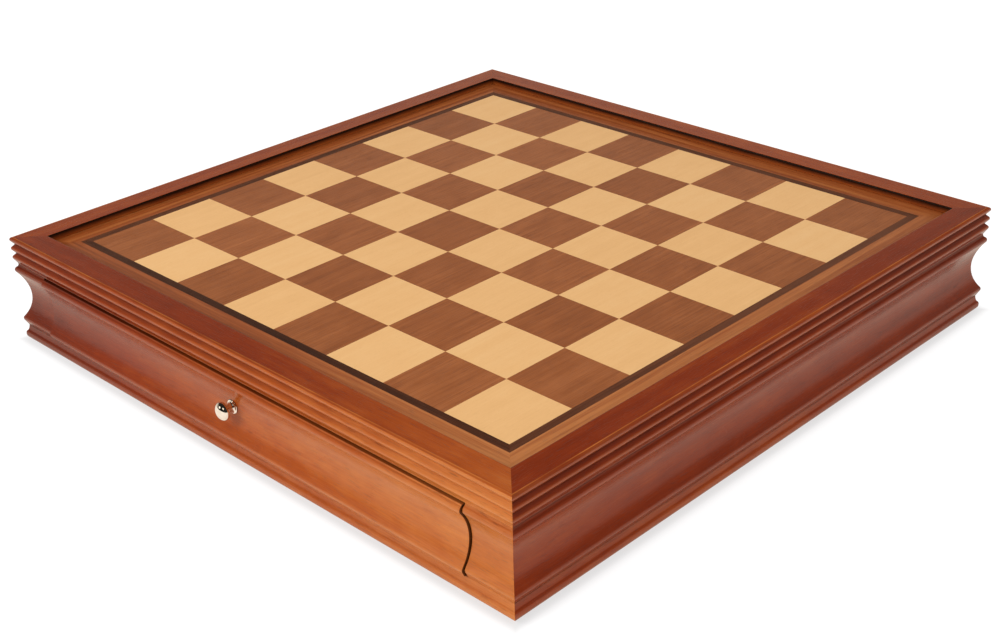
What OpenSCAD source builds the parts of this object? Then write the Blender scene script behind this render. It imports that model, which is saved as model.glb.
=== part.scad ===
// Game box with an inlaid board on top and one drawer on each of two opposite sides.
// The origin is at the centre of the underside, +Z is up, and the front drawer slides out along -Y.

/* [Board] */
// Side of one square
square = 50.8; // [38:0.1:63.5]
// Width of the dark stripe round the squares
stripe_w = 6; // [2:0.5:12]
// Width of the border that shows between stripe and frame
border_w = 15.8; // [6:0.1:40]
// Thickness of the veneers
veneer_t = 1; // [0.6:0.1:2]
// Width of the glue line between veneers of one colour
glue_gap = 0.06; // [0.02:0.02:0.2]
// Thickness of the panel under the veneers
core_t = 8; // [5:0.5:10]

/* [Frame] */
// Thickness of the moulding stock, from its inner face to its noses
stock_t = 19.75; // [17:0.25:28]
// Height of the frame above the board
lip_h = 5.2; // [2:0.1:7]
// Rounding of the frame's inner top edge
lip_r = 0.8; // [0.3:0.1:1.5]
// Depth of the groove that holds the board panel
board_groove = 6; // [3:0.5:8]

/* [Moulding] */
// Height of the base rail, up to the lower seam
base_h = 11.5; // [9:0.1:14]
// Height of the coved part between the two seams
body_h = 47.9; // [44:0.1:70]
// Height of the third bead above the upper seam
bead_rise = 5.8; // [4.5:0.1:7]
// Distance from bead to bead
bead_pitch = 6.85; // [6:0.05:8]
// Height of a bead groove above the bead below it
bead_step = 3.2; // [2.6:0.05:3.6]
// Height of the flat top above the first bead
top_step = 1.9; // [1.5:0.1:3]
// Depth of the grooves between the beads
bead_depth = 2.3; // [1.5:0.1:3]
// Depth of the grooves at the two seams
seam_depth = 2.3; // [2:0.1:3.5]
// Radius of the beads
bead_r = 2; // [1:0.1:2.2]
// Radius of the noses of the cove and the base
nose_r = 3; // [1:0.1:3.2]
// Height of the base nose
foot_nose = 4.8; // [4.5:0.1:6]
// Rounding of the lower outer edge
foot_r = 4; // [1:0.1:4.4]
// Height of the cove's lower nose above the lower seam
nose_low = 5.2; // [4:0.1:7]
// Depth of the cove's upper nose below the upper seam
nose_high = 4; // [3:0.1:6]
// Depth of the cove
cove_depth = 6.45; // [4:0.05:8]
// Height of the deepest line of the cove above the lower seam
cove_low = 24.5; // [20:0.1:26]

/* [Case] */
// Thickness of the bottom panel
bottom_t = 4; // [3:0.5:5]
// Height of the bottom panel above the surface that the box stands on
bottom_lift = 3; // [2:0.5:4]
// Depth of the groove that holds the bottom panel
bottom_groove = 5; // [3:0.5:8]
// Thickness of the divider between the two drawers
divider_t = 10; // [6:1:18]
// Height of the guide strips
guide_h = 30; // [12:1:40]
// Width of the runner strips
runner_w = 14; // [10:1:30]
// Height of the runners above the base rail
runner_rise = 0.3; // [0.2:0.1:1]

/* [Drawer] */
// Length of the fixed moulding at each end of a drawer front
corner_w = 37; // [32:0.5:60]
// Gap at each end of the drawer front
end_gap = 0.8; // [0.5:0.1:2]
// Gap above the drawer front
top_gap = 0.6; // [0.5:0.1:2.5]
// Gap under the drawer front
bottom_gap = 0.5; // [0.3:0.1:1.5]
// How far a closed drawer front stands proud of the moulding
proud = 1.5; // [0.3:0.1:3]
// How far the drawer box stands in from each end of the drawer front
box_inset = 3; // [2:0.5:6]
// Thickness of the drawer box wood
box_t = 8; // [6:0.5:12]
// Thickness of the drawer bottom
box_bottom_t = 3; // [2:0.5:5]
// Height of the drawer bottom above the lower edge of the box
box_bottom_lift = 3; // [1:0.5:5]
// Depth of the groove round the drawer bottom
box_groove = 4; // [2:0.5:5]
// Gap between the box and the runners
run_gap = 0.3; // [0.2:0.1:1]
// Gap between the box and each guide strip
guide_gap = 0.8; // [0.3:0.1:1.5]
// Gap between the box and the centre divider
back_gap = 0.5; // [0.3:0.1:3]

/* [Lining] */
// Thickness of the felt on the drawer bottom
felt_t = 1; // [0.5:0.5:2]
// Thickness of the slot dividers
slat_t = 4; // [2:0.5:6]
// Height of the slot dividers
slat_h = 30; // [15:1:34]
// Length of the long slots, next to the drawer front
long_slot = 110; // [60:1:140]
// Number of long slots
long_slots = 9; // [7:2:11]
// Number of wide slots behind them
wide_slots = 4; // [2:1:6]

/* [Knob] */
// Diameter of the knob's head
head_d = 12.8; // [9:0.1:15]
// Distance of the knob's front from its foot
knob_len = 11.8; // [11:0.1:18]
// Height of the dome in front of the head's rim
dome_h = 3.6; // [2:0.1:4]
// Depth of the head behind its rim
head_back = 2.2; // [1:0.1:2.5]
// Diameter of the knob's neck
neck_d = 5.6; // [5:0.1:6.5]
// Diameter of the knob's foot
flange_d = 9.5; // [7:0.5:11]
// Thickness of the foot's rim
flange_t = 0.9; // [0.5:0.1:1.5]
// Length of the flare from the foot to the neck
flare_h = 2.6; // [1.5:0.1:3.5]
// Diameter of the knob screw
screw_d = 3.9; // [2.5:0.1:4]
// Length of the screw inside the knob
thread_len = 6; // [3:0.5:8]
// Diameter of the screw's head
screw_head_d = 7.6; // [5.5:0.1:9]
// Height of the screw's head
screw_head_h = 2.4; // [1.5:0.1:3.5]
// Gap round the screw in the wood
hole_gap = 0.25; // [0.1:0.05:0.6]

/* [Hidden] */

// Quarter turns that carry a piece drawn at the back (+Y) to each side of the box
back = 0;
left = 1;
front = 2;
right = 3;

// Numbers that belong to this kind of box
count = 8;          // squares along a side
past = 1;           // how far a cutting shape runs past what it cuts
thread_gap = 0.05;  // radial gap between the screw and the knob
seat_gap = 0.2;     // radial gap round the knob's foot in its flat seat
tip_gap = 0.5;      // free depth of the knob's bore past the screw
cove_turn = 40;     // angle at which a nose passes into the cove
flank_turn = 55;    // angle at which a nose passes into a hollow flank
wall_rise = 1.2;    // straight wall above the upper seam
flank_in = 0.25;    // how far a hollow flank is pulled in, as a share of its depth
flank_up = 0.3;     // how far it is pulled towards its groove, as a share of its height
recess_arm = 0.28;  // half length of the recess in the screw's head, as a share of the head
recess_w = 0.125;   // width of that recess, as a share of the head

// Half sizes, from the middle of the box outwards
field = count*square/2;
stripe_out = field + stripe_w;
inner = stripe_out + border_w;      // inner face of the moulding
outer = inner + stock_t;            // line of the noses
panel = inner + board_groove;
bottom_half = inner + bottom_groove;

// Heights of the case
seam_lo = base_h;
seam_hi = base_h + body_h;
bead_3 = seam_hi + bead_rise;
bead_2 = bead_3 + bead_pitch;
bead_1 = bead_2 + bead_pitch;
top = bead_1 + top_step;
board_z = top - lip_h;
core_z = board_z - veneer_t;
core_under = core_z - core_t;
floor_z = bottom_lift + bottom_t;
runner_z = seam_lo + runner_rise;

// Drawer, drawn at the back and turned to its side
opening = outer - corner_w;         // half width between the fixed mouldings
face = opening - end_gap;
face_back = inner + proud;
box = face - box_inset;             // outside of the drawer box
box_in = box - box_t;
box_z = runner_z + run_gap;
box_top = seam_hi - top_gap;
box_back = divider_t/2 + back_gap;
tray_front = face_back - box_t;
tray_back = box_back + box_t;
tray_floor = box_z + box_bottom_lift + box_bottom_t;
slat_z = tray_floor + felt_t;
row_y = tray_front - long_slot - slat_t;
guide = box + guide_gap;            // inner face of the guide strips

// Knob, on the deepest line of the cove
knob_z = seam_lo + cove_low;
knob_y = outer + proud - cove_depth;
rim_z = knob_len - dome_h;
shank_len = knob_y - tray_front + thread_len;

// Points of an arc in n steps from angle a to angle b
function arc(c, r, a, b, n) =
    [for (i = [0:n]) let (t = a + (b - a)*i/n) c + r*[cos(t), sin(t)]];

// Points of a curve from p to q that is pulled towards c
function bend(p, c, q, n) =
    [for (i = [0:n]) let (t = i/n) pow(1 - t, 2)*p + 2*t*(1 - t)*c + t*t*q];

// Nose of radius r at height z, from angle a to angle b in n steps, and one point on it
function nose(z, r, a, b, n) = arc([outer - r, z], r, a, b, n);
function on_nose(z, a) = [outer - nose_r, z] + nose_r*[cos(a), sin(a)];

// Angles at which the flank through p touches that nose, below and above it
function touch_below(z, r, p) =
    let (d = p - [outer - r, z])
    atan2(d[1], d[0]) + acos(r/norm(d));
function touch_above(z, r, p) =
    let (d = p - [outer - r, z])
    atan2(d[1], d[0]) - acos(r/norm(d));

// Bead with straight flanks down to p and up to q
function bead(z, p, q) =
    nose(z, bead_r, touch_below(z, bead_r, p), touch_above(z, bead_r, q), 8);

// Hollow flank from the top of the nose at height z to the groove q
function flank(z, q) =
    let (p = on_nose(z, flank_turn))
    bend(p, [q[0] + flank_in*(p[0] - q[0]), p[1] + flank_up*(q[1] - p[1])], q, 6);

// Arc of the cove between its deepest line and a point p on its edge
function cove_radius(p) =
    let (d = p[0] - outer + cove_depth, h = p[1] - knob_z)
    (h*h + d*d)/(2*d);
function cove_arc(p, n) =
    let (r = cove_radius(p))
    arc([outer - cove_depth + r, knob_z], r, 180, 180 - asin((p[1] - knob_z)/r), n);
function backwards(list) = [for (i = [len(list) - 1:-1:0]) list[i]];

// Outline of the whole moulding, from the underside up to the flat top
nose_5 = seam_lo + nose_low;
nose_4 = seam_hi - nose_high;
groove_lo = [outer - seam_depth, seam_lo];
groove_hi = [outer - seam_depth, seam_hi];
wall_top = groove_hi + [0, wall_rise];
groove_2 = [outer - bead_depth, bead_3 + bead_step];
groove_1 = [outer - bead_depth, bead_2 + bead_step];
moulding_points = concat(
    [[inner, 0]],
    arc([outer - foot_r, foot_r], foot_r, -90, 0, 8),
    nose(foot_nose, nose_r, 0, flank_turn, 5),
    flank(foot_nose, groove_lo),
    nose(nose_5, nose_r, touch_below(nose_5, nose_r, groove_lo), cove_turn, 8),
    backwards(cove_arc(on_nose(nose_5, cove_turn), 12)),
    cove_arc(on_nose(nose_4, -cove_turn), 14),
    nose(nose_4, nose_r, -cove_turn, flank_turn, 10),
    flank(nose_4, groove_hi),
    [wall_top],
    bead(bead_3, wall_top, groove_2),
    [groove_2],
    bead(bead_2, groove_2, groove_1),
    [groove_1],
    nose(bead_1, bead_r, touch_below(bead_1, bead_r, groove_1), 0, 4),
    arc([outer - top_step, bead_1], top_step, 0, 90, 6),
    arc([inner + lip_r, top - lip_r], lip_r, 90, 180, 4)
);

// Moulding section between two heights
module band(from, to) {
    intersection() {
        polygon(moulding_points);
        translate([inner - past, from])
            square([stock_t + 2*past, to - from]);
    }
}

// Section (outwards, up) run along X behind the middle of the box, from x = a to x = b
module run(a, b) {
    translate([a, 0, 0])
        rotate([90, 0, 90])
            linear_extrude(b - a)
                children();
}

// Part of the box that belongs to its back side, up to the mitres
module mitre() {
    linear_extrude(top + past)
        polygon([[0, 0], [outer + past, outer + past], [-outer - past, outer + past]]);
}

// Mitred rail with the section given, on the side that the quarter turns name
module mitred(side) {
    rotate([0, 0, 90*side])
        intersection() {
            run(-outer - past, outer + past)
                children();
            mitre();
        }
}

// Groove for a panel edge in a section
module slot(depth, from, to) {
    translate([inner - past, from])
        square([depth + past, to - from]);
}

// Box from its lowest corner to its highest corner
module block(a, b) {
    translate(a)
        cube(b - a);
}

// Cylinder along +Y from y = a to y = b at the knob's height
module along(r, a, b) {
    translate([0, a, knob_z])
        rotate([-90, 0, 0])
            cylinder(r = r, h = b - a, $fn = 48);
}

module top_rail(side) {
    color("#7b3019")
        mitred(side)
            difference() {
                band(seam_hi, top);
                slot(board_groove, core_under, board_z);
            }
}

module side_moulding(side) {
    color("#8d3b1c")
        mitred(side)
            band(seam_lo, seam_hi);
}

module base_rail(side) {
    color("#94431f")
        mitred(side)
            difference() {
                band(0, seam_lo);
                slot(bottom_groove, bottom_lift, floor_z);
            }
}

// Fixed moulding beside a drawer front: end is 1 or -1 along X before the turn
module corner(side, end) {
    color("#a04f27")
        rotate([0, 0, 90*side])
            intersection() {
                run(end > 0 ? opening : -outer - past, end > 0 ? outer + past : -opening)
                    band(seam_lo, seam_hi);
                mitre();
            }
}

module board_panel() {
    color("#a98558")
        block([-panel, -panel, core_under], [panel, panel, core_z]);
}

// Squares of one colour: parity is 0 for the colour of the front left corner
module squares(parity) {
    for (i = [0:count - 1], j = [0:count - 1])
        if ((i + j) % 2 == parity)
            translate([i*square - field + glue_gap/2, j*square - field + glue_gap/2, core_z])
                cube([square - glue_gap, square - glue_gap, veneer_t]);
}

module light_squares() {
    color("#dfb377")
        squares(1);
}

module dark_squares() {
    color("#6b4028")
        squares(0);
}

module stripe(side) {
    color("#2c1a14")
        mitred(side)
            translate([field, core_z])
                square([stripe_w, veneer_t]);
}

module border(side) {
    color("#8b5a3a")
        mitred(side)
            translate([stripe_out, core_z])
                square([panel - stripe_out, veneer_t]);
}

module bottom_panel() {
    color("#b08d62")
        block([-bottom_half, -bottom_half, bottom_lift], [bottom_half, bottom_half, floor_z]);
}

module centre_divider() {
    color("#b9925f")
        block([-guide, -divider_t/2, floor_z], [guide, divider_t/2, core_under]);
}

// Strip that keeps the drawers straight: end is 1 or -1 along X
module guide_strip(end) {
    color("#b9925f")
        mirror([end > 0 ? 0 : 1, 0, 0])
            block([guide, -inner, floor_z], [inner, inner, floor_z + guide_h]);
}

// Strip under one side of a drawer: ends are 1 or -1 along X and Y
module runner(end_x, end_y) {
    color("#b9925f")
        mirror([end_x > 0 ? 0 : 1, 0, 0])
            mirror([0, end_y > 0 ? 0 : 1, 0])
                block([guide - runner_w, divider_t/2, floor_z], [guide, inner, runner_z]);
}

// Groove round the drawer box for its bottom
module bottom_cut() {
    edge = box_in + box_groove;
    block([-edge, tray_back - box_groove, box_z + box_bottom_lift],
        [edge, tray_front + box_groove, tray_floor]);
}

module screw_hole() {
    along(screw_d/2 + hole_gap, tray_front - past, knob_y + past);
}

module drawer_face() {
    color("#b06030")
        difference() {
            translate([0, proud, 0])
                run(-face, face)
                    band(seam_lo + bottom_gap, box_top);
            along(flange_d/2 + seat_gap, knob_y, outer + proud + past);
            screw_hole();
        }
}

module drawer_inner_front() {
    color("#c39a66")
        difference() {
            block([-box_in, tray_front, box_z], [box_in, face_back, box_top]);
            bottom_cut();
            screw_hole();
        }
}

// Side of the drawer box: end is 1 or -1 along X
module drawer_side(end) {
    color("#c39a66")
        mirror([end > 0 ? 0 : 1, 0, 0])
            difference() {
                block([box_in, box_back, box_z], [box, face_back, box_top]);
                bottom_cut();
            }
}

module drawer_back() {
    color("#c39a66")
        difference() {
            block([-box_in, box_back, box_z], [box_in, tray_back, box_top]);
            bottom_cut();
        }
}

module drawer_bottom() {
    color("#b08d62")
        bottom_cut();
}

module drawer_felt() {
    color("#1f5a3a")
        block([-box_in, tray_back, tray_floor], [box_in, tray_front, slat_z]);
}

module row_divider() {
    color("#256844")
        block([-box_in, row_y, slat_z], [box_in, row_y + slat_t, slat_z + slat_h]);
}

// Dividers that part a row of the tray into n equal slots
module slats(n, from, to) {
    pitch = (2*box_in + slat_t)/n;
    for (i = [1:n - 1])
        translate([i*pitch - box_in - slat_t, 0, 0])
            block([0, from, slat_z], [slat_t, to, slat_z + slat_h]);
}

module slot_dividers() {
    color("#256844") {
        slats(long_slots, row_y + slat_t, tray_front);
        slats(wide_slots, tray_back, row_y);
    }
}

// Half outline of the knob, radius and distance from its foot
function dome(t) = [head_d/2*cos(t), rim_z + dome_h*sin(t)];
function head_under(t) = [neck_d/2 + (head_d - neck_d)/2*cos(t), rim_z - head_back*sin(t)];
knob_points = concat(
    [[0, 0], [flange_d/2, 0]],
    bend([flange_d/2, flange_t], [neck_d/2, flange_t], [neck_d/2, flange_t + flare_h], 8),
    [for (i = [0:6]) head_under(90 - 15*i)],
    [for (i = [1:12]) dome(7.5*i)]
);

module knob() {
    color("#c9c9cc")
        difference() {
            translate([0, knob_y, knob_z])
                rotate([-90, 0, 0])
                    rotate_extrude($fn = 64)
                        polygon(knob_points);
            along(screw_d/2 + thread_gap, knob_y - past, knob_y + thread_len + tip_gap);
        }
}

// Pan head with a cross recess, and a shank that ends inside the knob
module knob_screw() {
    recess = [2*recess_arm*screw_head_d, screw_head_h, recess_w*screw_head_d];
    color("#b4b4b8")
        difference() {
            union() {
                along(screw_d/2, tray_front, tray_front + shank_len);
                translate([0, tray_front, knob_z])
                    rotate([90, 0, 0])
                        rotate_extrude($fn = 48)
                            polygon(concat([[0, 0]],
                                [for (i = [0:8]) let (t = 11.25*i)
                                    [screw_head_d/2*cos(t), screw_head_h*sin(t)]]));
            }
            for (turn = [0, 90])
                translate([0, tray_front - screw_head_h, knob_z])
                    rotate([0, turn, 0])
                        cube(recess, center = true);
        }
}

// Turns a drawer piece from the back of the box to the front
module to_front() {
    rotate([0, 0, 180])
        children();
}

top_rail(front);  // top_rail_front
top_rail(right);  // top_rail_right
top_rail(back);  // top_rail_back
top_rail(left);  // top_rail_left
board_panel();
light_squares();
dark_squares();
stripe(front);  // stripe_front
stripe(right);  // stripe_right
stripe(back);  // stripe_back
stripe(left);  // stripe_left
border(front);  // border_front
border(right);  // border_right
border(back);  // border_back
border(left);  // border_left
side_moulding(right);  // side_moulding_right
side_moulding(left);  // side_moulding_left
corner(front, 1);  // corner_front_left
corner(front, -1);  // corner_front_right
corner(back, -1);  // corner_back_left
corner(back, 1);  // corner_back_right
base_rail(front);  // base_rail_front
base_rail(right);  // base_rail_right
base_rail(back);  // base_rail_back
base_rail(left);  // base_rail_left
bottom_panel();
centre_divider();
guide_strip(-1);  // guide_left
guide_strip(1);  // guide_right
runner(-1, -1);  // runner_front_left
runner(1, -1);  // runner_front_right
runner(-1, 1);  // runner_back_left
runner(1, 1);  // runner_back_right
to_front() drawer_face();  // front_drawer_face
to_front() drawer_inner_front();  // front_drawer_inner_front
to_front() drawer_side(1);  // front_drawer_left_side
to_front() drawer_side(-1);  // front_drawer_right_side
to_front() drawer_back();  // front_drawer_back
to_front() drawer_bottom();  // front_drawer_bottom
to_front() drawer_felt();  // front_drawer_felt
to_front() row_divider();  // front_drawer_row_divider
to_front() slot_dividers();  // front_drawer_slot_dividers
to_front() knob();  // front_drawer_knob
to_front() knob_screw();  // front_drawer_knob_screw
drawer_face();  // back_drawer_face
drawer_inner_front();  // back_drawer_inner_front
drawer_side(1);  // back_drawer_left_side
drawer_side(-1);  // back_drawer_right_side
drawer_back();  // back_drawer_back
drawer_bottom();  // back_drawer_bottom
drawer_felt();  // back_drawer_felt
row_divider();  // back_drawer_row_divider
slot_dividers();  // back_drawer_slot_dividers
knob();  // back_drawer_knob
knob_screw();  // back_drawer_knob_screw
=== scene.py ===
from math import atan2, ceil, cos, exp, pi, radians, sin, tan

import bmesh
import bpy
from mathutils import Matrix, Vector, geometry, noise


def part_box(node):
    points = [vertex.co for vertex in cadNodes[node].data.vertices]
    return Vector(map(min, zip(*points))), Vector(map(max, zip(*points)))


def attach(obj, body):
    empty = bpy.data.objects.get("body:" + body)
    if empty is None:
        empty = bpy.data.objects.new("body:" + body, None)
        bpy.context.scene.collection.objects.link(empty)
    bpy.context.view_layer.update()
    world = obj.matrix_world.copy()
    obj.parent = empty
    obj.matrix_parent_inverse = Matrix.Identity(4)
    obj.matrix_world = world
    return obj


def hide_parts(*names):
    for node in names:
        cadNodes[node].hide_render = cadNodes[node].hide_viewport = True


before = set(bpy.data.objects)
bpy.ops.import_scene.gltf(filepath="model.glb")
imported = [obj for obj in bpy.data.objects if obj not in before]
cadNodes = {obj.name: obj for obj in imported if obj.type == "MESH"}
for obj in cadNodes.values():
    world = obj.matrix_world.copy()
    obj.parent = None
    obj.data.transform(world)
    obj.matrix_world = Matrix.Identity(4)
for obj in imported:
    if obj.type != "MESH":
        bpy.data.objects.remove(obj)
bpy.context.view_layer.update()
scene = bpy.context.scene
mm = 0.001
weldDistance = 0.001 * mm


# Camera and studio

cameraView = {
    "place": (0.6993, -0.7102, 0.5166),  # metres from the middle of the box's underside
    "heading": 45.33,                    # degrees to the left of +Y
    "down": 27.31,                       # degrees below the horizon
    "roll": -1.89,                       # degrees about the line of sight
    "focal": 1541.7,                     # in pixels of a picture that is pictureWidth wide
    "pictureWidth": 1000,
    "shift": (0.0165, 0.0006),           # of the lens, in parts of the picture's width
}


def makeCamera(view):
    data = bpy.data.cameras.new("photoCamera")
    data.sensor_width = 36
    data.lens = data.sensor_width * view["focal"] / view["pictureWidth"]
    data.shift_x, data.shift_y = view["shift"]
    data.clip_start = 0.01
    camera = bpy.data.objects.new("photoCamera", data)
    heading = Matrix.Rotation(radians(view["heading"]), 4, "Z")
    tip = Matrix.Rotation(radians(90 - view["down"]), 4, "X")
    roll = Matrix.Rotation(radians(view["roll"]), 4, "Z")
    camera.matrix_world = Matrix.Translation(view["place"]) @ heading @ tip @ roll
    scene.collection.objects.link(camera)
    scene.camera = camera
    scene.view_settings.view_transform = "Standard"


softboxes = {
    # side is in degrees from -Y towards +X, up in degrees above the horizon, away and size in
    # metres, power in watts
    "leftSoftbox": {"side": -22, "up": 30, "away": 1.6, "size": 0.7, "power": 8.5},
    "rightSoftbox": {"side": 84, "up": 18, "away": 1.6, "size": 0.6, "power": 3.0},
}

studio = {
    "aim": Vector((0, 0, 0.04)),  # where the softboxes point
    "ambient": 0.78,           # grey of the room as a light on the object
    "room": 0.02,              # grey of the room in reflections
    "warmth": (0.96, 0.82, 0.66, 1),  # tint of all that shows in reflections
    "backdropTurn": 45,        # where the backdrop stands, in degrees to the left of +Y
    # cosines of the angle to its middle where it ends and where all of it shows
    "backdropFade": (-0.1, 0.5),
    # its grey in reflections, by degrees above the horizon
    "backdrop": ((0, 0.70), (20.5, 0.70), (22, 0.07), (26, 0.03), (60, 0.02)),
    "glints": ((-32, 20), (18, 34)),  # mirror images of the two lamps: side and up as above
    "glintLevel": 1.8,         # their brightness
    "glintSize": 9.0,          # their radius in degrees
    "glintBlur": 1.0,          # and the width of their edge
    "floorSize": 12,
    "floorDrop": 0.1 * mm,     # keeps the floor clear of the rails that stand on it
    "floorColor": 0.86,        # grey of the floor as the object meets it
    "floorSeen": 0.25,         # grey of the part that keeps shadows where the floor is seen
    "floorGlow": 0.88,         # white added there
    "contactDepth": 0.29,      # how much of that white the contact shadow takes
    "contactReach": 5.3 * mm,  # and how far it reaches
}


def directionTo(side, up):
    flat = cos(radians(up))
    return Vector((sin(radians(side)) * flat, -cos(radians(side)) * flat, sin(radians(up))))


def makeSoftbox(name, side, up, away, size, power):
    data = bpy.data.lights.new(name, "AREA")
    data.energy = power
    data.size = size
    lamp = bpy.data.objects.new(name, data)
    direction = directionTo(side, up)
    lamp.location = studio["aim"] + away * direction
    lamp.rotation_euler = direction.to_track_quat("Z", "Y").to_euler()
    lamp.visible_camera = False
    lamp.visible_glossy = False
    scene.collection.objects.link(lamp)


# Short forms for shader nodes

def paint(code):
    # linear colour of an sRGB hex code
    parts = [int(code[i:i + 2], 16) / 255 for i in (1, 3, 5)]
    return [p / 12.92 if p <= 0.04045 else ((p + 0.055) / 1.055) ** 2.4 for p in parts] + [1]


def fillInputs(tree, made, inputs):
    for name, value in inputs.items():
        if isinstance(value, bpy.types.NodeSocket):
            tree.links.new(value, made.inputs[name])
        else:
            made.inputs[name].default_value = value


def put(tree, kind, inputs=None, **settings):
    made = tree.nodes.new("ShaderNode" + kind)
    for name, value in settings.items():
        setattr(made, name, value)
    fillInputs(tree, made, inputs or {})
    return made


def calc(tree, operation, *values):
    return put(tree, "Math", dict(enumerate(values)), operation=operation).outputs[0]


def vectorCalc(tree, operation, *values):
    return put(tree, "VectorMath", dict(enumerate(values)), operation=operation).outputs[0]


def remap(tree, value, fromLow, fromHigh, toLow=0.0, toHigh=1.0):
    spans = {"Value": value, "From Min": fromLow, "From Max": fromHigh,
             "To Min": toLow, "To Max": toHigh}
    return put(tree, "MapRange", spans).outputs[0]


def mixColor(tree, share, first, second):
    return put(tree, "Mix", {0: share, 6: first, 7: second}, data_type="RGBA").outputs[2]


def dotWith(tree, first, second):
    return put(tree, "VectorMath", {0: first, 1: second}, operation="DOT_PRODUCT").outputs["Value"]


def scaleBy(tree, vector, scale):
    return put(tree, "VectorMath", {0: vector, "Scale": scale}, operation="SCALE").outputs[0]


def noiseAt(tree, place, size, detail, roughness=0.5, output="Fac"):
    # size is the length of the noise's waves along each axis
    return put(tree, "TexNoise", {
        "Vector": vectorCalc(tree, "DIVIDE", place, size), "Scale": 1.0, "Detail": detail,
        "Roughness": roughness}).outputs[output]


def bumpFrom(tree, height, distance, **below):
    return put(tree, "Bump", {"Strength": 1.0, "Distance": distance, "Height": height,
                              **below}).outputs["Normal"]


def grey(level):
    return [level] * 3 + [1]


def colorRamp(tree, value, stops):
    # stops are pairs of a position and a linear colour
    made = put(tree, "ValToRGB", {"Fac": value})
    elements = made.color_ramp.elements
    while len(elements) < len(stops):
        elements.new(1.0)
    for element, (position, color) in zip(elements, stops):
        element.position = position
        element.color = color
    return made.outputs["Color"]


def toneRamp(tree, value, codes):
    return colorRamp(tree, value, [(i / (len(codes) - 1), paint(code))
                                   for i, code in enumerate(codes)])


def startGroup(name, inputs, outputs):
    # a shader node group, what it is given and the node that gives
    tree = bpy.data.node_groups.new(name, "ShaderNodeTree")
    for label, kind in inputs.items():
        tree.interface.new_socket(label, in_out="INPUT", socket_type="NodeSocket" + kind)
    for label, kind in outputs.items():
        tree.interface.new_socket(label, in_out="OUTPUT", socket_type="NodeSocket" + kind)
    return tree, tree.nodes.new("NodeGroupInput").outputs, tree.nodes.new("NodeGroupOutput")


def useGroup(tree, group, inputs):
    return put(tree, "Group", inputs, node_tree=group).outputs


def startMaterial(name):
    material = bpy.data.materials.new(name)
    material.use_nodes = True
    tree = material.node_tree
    return material, tree, tree.nodes["Principled BSDF"]


# Shader node groups

grainParts = {
    # low and high are the noise that gives 0 and 1; bent parts follow the grain's wandering
    "Streak": {"detail": 2.0, "roughness": 0.5, "low": 0.28, "high": 0.72, "bent": True},
    "Fibre": {"detail": 3.0, "roughness": 0.6, "low": 0.25, "high": 0.75, "bent": True},
    "Pores": {"detail": 1.0, "roughness": 0.5, "low": 0.60, "high": 0.72, "bent": True},
    "Mottle": {"detail": 3.0, "roughness": 0.55, "low": 0.25, "high": 0.75, "bent": False},
}


def makeWoodGrain():
    # Place is in metres and runs along the grain in X
    inputs = {"Place": "Vector", "Seed": "Float", "Wander": "Float"}
    inputs.update({part + " Size": "Vector" for part in grainParts})
    outputs = {part: "Float" for part in (*grainParts, "Relief")}
    tree, given, gives = startGroup("woodGrain", inputs, outputs)
    wanderLength = 140 * mm
    seedStep = put(tree, "CombineXYZ", {"X": 0.37, "Y": 0.59, "Z": 0.83}).outputs[0]
    place = vectorCalc(tree, "ADD", given["Place"], scaleBy(tree, seedStep, given["Seed"]))
    bend = noiseAt(tree, place, [wanderLength] * 3, 1.0, output="Color")
    sway = vectorCalc(tree, "SUBTRACT", bend, [0.5] * 3)
    reach = put(tree, "CombineXYZ", {"Y": given["Wander"], "Z": given["Wander"]}).outputs[0]
    bent = vectorCalc(tree, "ADD", place, vectorCalc(tree, "MULTIPLY", sway, reach))
    levels = {}
    for part, values in grainParts.items():
        wave = noiseAt(tree, bent if values["bent"] else place, given[part + " Size"],
                       values["detail"], values["roughness"])
        levels[part] = remap(tree, wave, values["low"], values["high"])
    levels["Relief"] = calc(tree, "SUBTRACT", levels["Fibre"], levels["Pores"])
    fillInputs(tree, gives, levels)
    return tree


def makeVeneerTiles():
    # a random place in the log and a random tone for each square of veneer
    tree, given, gives = startGroup("veneerTiles", {"Place": "Vector", "Tile Size": "Float"},
                                    {"Shift": "Vector", "Tone": "Float"})
    size = put(tree, "CombineXYZ", {axis: given["Tile Size"] for axis in "XYZ"}).outputs[0]
    cell = vectorCalc(tree, "FLOOR", vectorCalc(tree, "DIVIDE", given["Place"], size))
    keepFlat = vectorCalc(tree, "MULTIPLY", cell, (1, 1, 0))
    dice = put(tree, "TexWhiteNoise", {"Vector": keepFlat}, noise_dimensions="3D").outputs
    fillInputs(tree, gives, {"Shift": dice["Color"], "Tone": dice["Value"]})
    return tree


def makeEdgeMarksAndPaintedLight():
    # marks on the mesh: noses that are rubbed, with painted highlight on the top edge and painted
    # light at the lip's foot; grooves that keep the stain, with painted shade; and sawn end grain,
    # with painted shade in gaps and on the lip, darker still; spots make all three uneven
    marks = {"Rub": "Float", "Groove": "Float", "Sawn": "Float"}
    tree, given, gives = startGroup("edgeMarksAndPaintedLight", {"Place": "Vector", **marks}, marks)
    spotSize = (30 * mm, 6 * mm, 6 * mm)
    spots = noiseAt(tree, given["Place"], spotSize, 3.0)
    leastLightened, leastDarkened, leastEndDarkened = 0.25, 0.6, 0.8
    darkened = remap(tree, spots, 0.2, 0.8, 1.0, leastDarkened)
    shares = {"Rub": remap(tree, spots, 0.3, 0.7, leastLightened, 1.0), "Groove": darkened,
              "Sawn": remap(tree, darkened, leastDarkened, 1, leastEndDarkened, 1.0)}
    fillInputs(tree, gives, {mark: calc(tree, "MULTIPLY", given[mark], share)
                             for mark, share in shares.items()})
    return tree


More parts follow.
